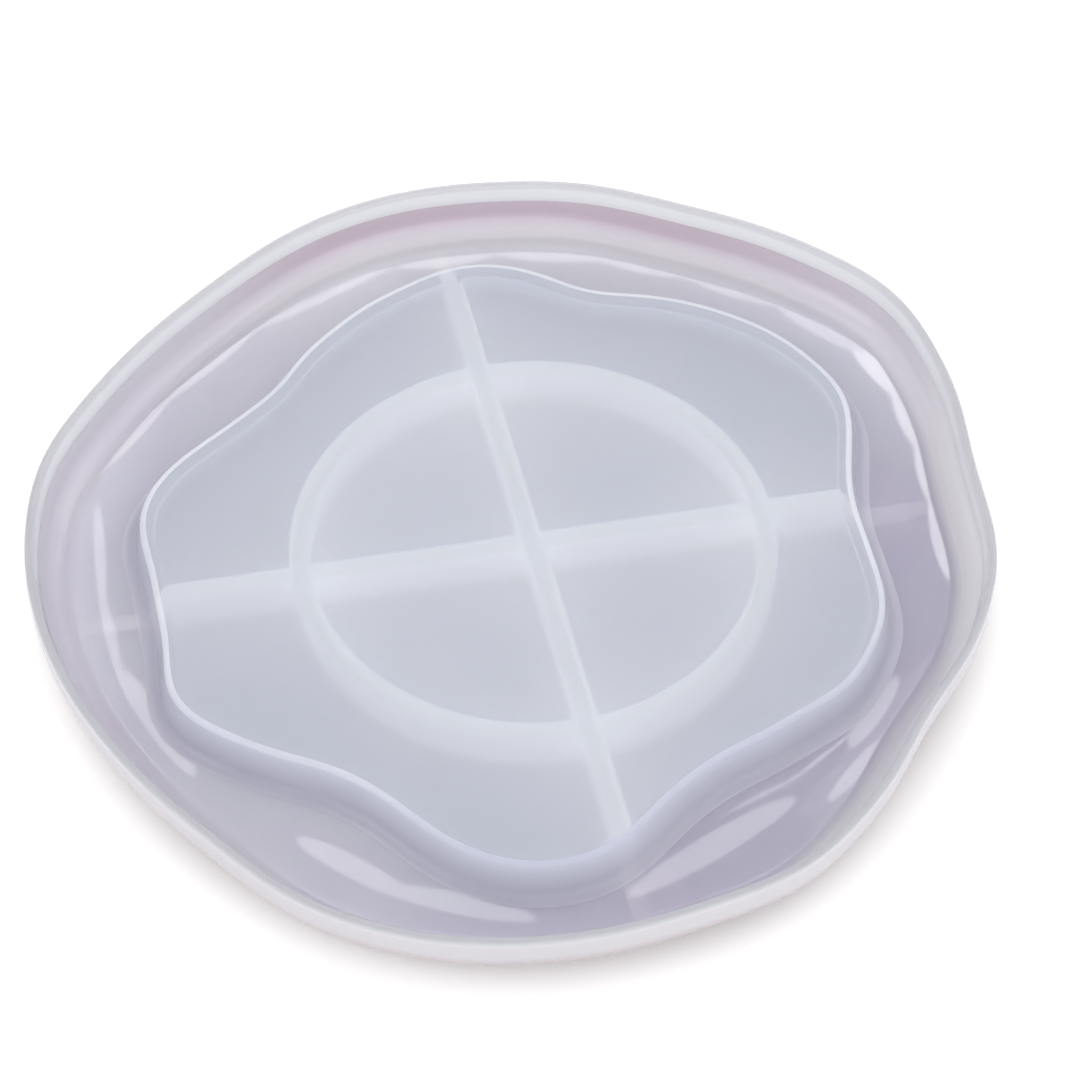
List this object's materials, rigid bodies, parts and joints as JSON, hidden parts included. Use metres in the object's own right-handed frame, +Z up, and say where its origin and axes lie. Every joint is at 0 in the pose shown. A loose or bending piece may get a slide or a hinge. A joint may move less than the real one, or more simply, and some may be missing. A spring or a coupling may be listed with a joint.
{
  "type": "resin casting mould",
  "caption": "Free-form silicone tray mould with a raised wavy deck, a channel all round it, a thin lipped wall, and a ring and cross of ribs below.",
  "frame": {"origin": "underside of the rib cross at the middle of the support ring, on the surface the mould stands on", "axes": "+Z up out of the open face, +X along the east rib, +Y towards the north rib, which stands at 93 degrees"},
  "size_m": [0.2455, 0.2483, 0.019],
  "materials": {
    "glossy_silicone": "glossy milky translucent silicone with a faint mauve cast",
    "frosted_silicone": "frosted milky translucent silicone, cool grey",
    "rib_silicone": "milky silicone, paler where it is thick"
  },
  "bodies": {
    "root": {"outer_wall": "glossy_silicone", "channel_floor": "glossy_silicone", "plateau_wall": "glossy_silicone", "deck": "frosted_silicone", "support_ring": "rib_silicone", "inner_rib_across": "rib_silicone", "inner_rib_north": "rib_silicone", "inner_rib_south": "rib_silicone", "outer_rib_east": "rib_silicone", "foot_rib_east": "rib_silicone", "outer_rib_north": "rib_silicone", "foot_rib_north": "rib_silicone", "outer_rib_west": "rib_silicone", "foot_rib_west": "rib_silicone", "outer_rib_south": "rib_silicone", "foot_rib_south": "rib_silicone"}
  },
  "joints": []
}
